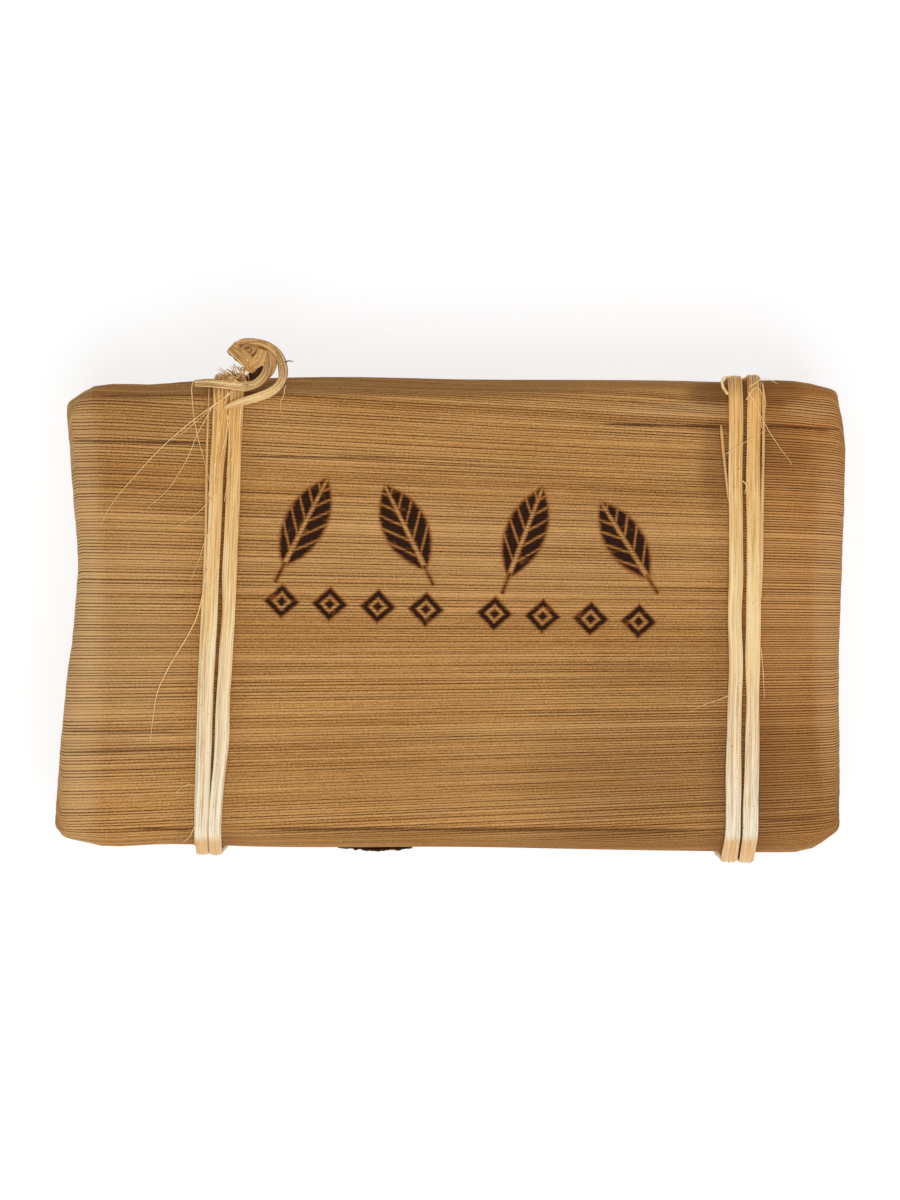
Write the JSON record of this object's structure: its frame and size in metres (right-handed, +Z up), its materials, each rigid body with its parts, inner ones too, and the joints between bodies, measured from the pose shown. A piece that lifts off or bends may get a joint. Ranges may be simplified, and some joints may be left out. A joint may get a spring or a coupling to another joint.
{
  "type": "wrapped tea brick",
  "caption": "Flat pressed tea brick wrapped in a dried ribbed leaf sheath, folded at the ends and tied round with split bamboo strips, with a twisted knot at one long edge.",
  "frame": {"origin": "centre of the bounding box of the whole, on the ground that the brick lies on", "axes": "+Z up out of the shown face, +X along the brick's length, +Y towards the long side with the knot"},
  "size_m": [0.1546, 0.103, 0.031],
  "materials": {
    "sheath": "dry ribbed leaf, satin",
    "inner_sheath": "dry dark leaf, matte",
    "split_bamboo": "bare fibrous strip, satin",
    "twisted_bamboo": "bare twisted strip, satin"
  },
  "bodies": {
    "root": {"sheath_wrap": "sheath", "inner_sheath_lip": "inner_sheath", "left_tie_outer_strand": "split_bamboo", "left_tie_inner_strand": "split_bamboo", "right_tie_inner_strand": "split_bamboo", "right_tie_outer_strand": "split_bamboo", "right_tie_inner_tail": "split_bamboo", "right_tie_outer_tail": "split_bamboo", "left_tie_knot": "twisted_bamboo"}
  },
  "joints": []
}
